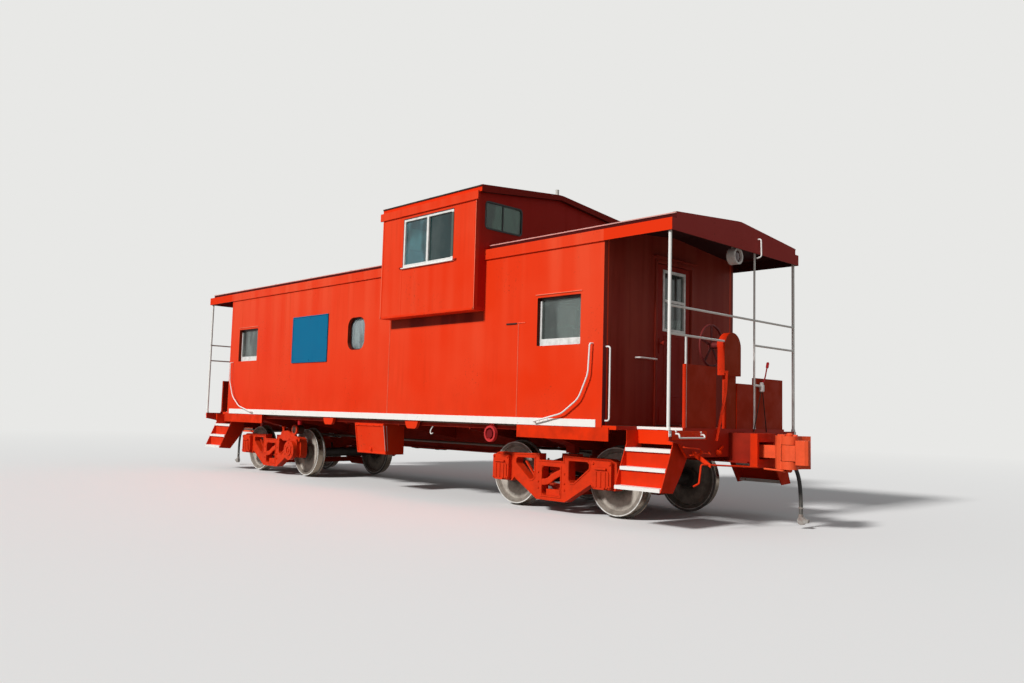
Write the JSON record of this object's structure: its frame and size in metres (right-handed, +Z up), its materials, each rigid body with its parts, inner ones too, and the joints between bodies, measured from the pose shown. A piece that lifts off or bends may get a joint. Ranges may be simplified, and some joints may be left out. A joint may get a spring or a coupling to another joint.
{
  "type": "railway caboose",
  "caption": "Steel railway caboose with a wide cupola, end platforms with steps and railings, swivelling trucks with rolling wheelsets, hinged end doors and couplers that swing.",
  "frame": {"origin": "middle of the car, level with the tips of the wheel flanges", "axes": "+X along the car to the end with the hand brake, -Y to the side with the blank plate, +Z up"},
  "size_m": [13.1836, 3.266, 4.54],
  "materials": {
    "body_paint": "satin",
    "end_paint": "satin",
    "white_paint": "satin",
    "plate_paint": "satin",
    "roof_paint": "matt",
    "frame_paint": "satin",
    "truck_paint": "satin",
    "wheel_steel": "worn",
    "coupler_iron": "painted",
    "spring_steel": "dull",
    "dark_paint": "matt",
    "lamp_metal": "satin",
    "window_aluminium": "satin",
    "gasket_rubber": "matt",
    "glass": "gloss",
    "floor_wood": "worn",
    "deck_panel": "painted",
    "seat_cover": "worn",
    "hose_rubber": "matt",
    "pipe_steel": "dull"
  },
  "bodies": {
    "car": {"floor": "floor_wood", "side_walls": "body_paint", "end_walls": "end_paint", "roof": "roof_paint", "cupola_sides": "body_paint", "cupola_ends": "end_paint", "cupola_roof": "roof_paint", "cupola_deck": "deck_panel", "cupola_seats": "seat_cover", "window_frames": "window_aluminium", "window_gaskets": "gasket_rubber", "window_glass": "glass", "side_plate": "plate_paint", "side_sills": "white_paint", "underframe": "frame_paint", "platforms": "frame_paint", "steps": "frame_paint", "step_treads": "white_paint", "grab_irons": "white_paint", "end_railings": "white_paint", "rail_panels": "frame_paint", "brake_column": "frame_paint", "brake_wheel": "dark_paint", "end_lamp": "lamp_metal", "tool_box": "body_paint", "sill_lugs": "body_paint", "brake_gear": "dark_paint", "train_pipe": "pipe_steel", "uncoupling_levers": "truck_paint", "air_hose_a": "hose_rubber", "air_hose_b": "hose_rubber", "hose_coupling_a": "pipe_steel", "hose_coupling_b": "pipe_steel"},
    "truck_a": {"truck_sides_a": "truck_paint", "truck_bolster_a": "truck_paint", "brake_beams_a": "dark_paint", "leaf_springs_a": "spring_steel"},
    "truck_b": {"truck_sides_b": "truck_paint", "truck_bolster_b": "truck_paint", "brake_beams_b": "dark_paint", "leaf_springs_b": "spring_steel", "axle_drive": "truck_paint"},
    "axle_1": {"wheelset_1": "wheel_steel"},
    "axle_2": {"wheelset_2": "wheel_steel"},
    "axle_3": {"wheelset_3": "wheel_steel"},
    "axle_4": {"wheelset_4": "wheel_steel"},
    "door_a": {"door_a": "end_paint", "door_sash_a": "window_aluminium", "door_glass_a": "glass"},
    "coupler_a": {"coupler_a": "coupler_iron"},
    "knuckle_a": {"knuckle_a": "coupler_iron"},
    "door_b": {"door_b": "end_paint", "door_sash_b": "window_aluminium", "door_glass_b": "glass"},
    "coupler_b": {"coupler_b": "coupler_iron"},
    "knuckle_b": {"knuckle_b": "coupler_iron"}
  },
  "joints": [
    {"name": "truck_a_swivel", "type": "hinge", "parent": "car", "child": "truck_a", "pos_m": [3.585, 0, 0.69], "axis": [0, 0, 1], "range_deg": [-5, 5]},
    {"name": "truck_b_swivel", "type": "hinge", "parent": "car", "child": "truck_b", "pos_m": [-3.585, 0, 0.69], "axis": [0, 0, 1], "range_deg": [-5, 5]},
    {"name": "axle_1_roll", "type": "hinge", "parent": "truck_a", "child": "axle_1", "pos_m": [4.455, 0, 0.444], "axis": [0, 1, 0], "continuous": true},
    {"name": "axle_2_roll", "type": "hinge", "parent": "truck_a", "child": "axle_2", "pos_m": [2.715, 0, 0.444], "axis": [0, 1, 0], "continuous": true},
    {"name": "axle_3_roll", "type": "hinge", "parent": "truck_b", "child": "axle_3", "pos_m": [-2.715, 0, 0.444], "axis": [0, 1, 0], "continuous": true},
    {"name": "axle_4_roll", "type": "hinge", "parent": "truck_b", "child": "axle_4", "pos_m": [-4.455, 0, 0.444], "axis": [0, 1, 0], "continuous": true},
    {"name": "door_a_hinge", "type": "hinge", "parent": "car", "child": "door_a", "pos_m": [4.628, 0.354, 2.15], "axis": [0, 0, -1], "range_deg": [0, 90]},
    {"name": "door_b_hinge", "type": "hinge", "parent": "car", "child": "door_b", "pos_m": [-4.628, -0.354, 2.15], "axis": [0, 0, -1], "range_deg": [0, 90]},
    {"name": "coupler_a_swing", "type": "hinge", "parent": "car", "child": "coupler_a", "pos_m": [5.3, 0, 0.88], "axis": [0, 0, 1], "range_deg": [-7, 7]},
    {"name": "coupler_b_swing", "type": "hinge", "parent": "car", "child": "coupler_b", "pos_m": [-5.3, 0, 0.88], "axis": [0, 0, 1], "range_deg": [-7, 7]},
    {"name": "knuckle_a_pivot", "type": "hinge", "parent": "coupler_a", "child": "knuckle_a", "pos_m": [6.352, -0.128, 0.88], "axis": [0, 0, -1], "range_deg": [0, 45]},
    {"name": "knuckle_b_pivot", "type": "hinge", "parent": "coupler_b", "child": "knuckle_b", "pos_m": [-6.352, 0.128, 0.88], "axis": [0, 0, -1], "range_deg": [0, 45]}
  ]
}
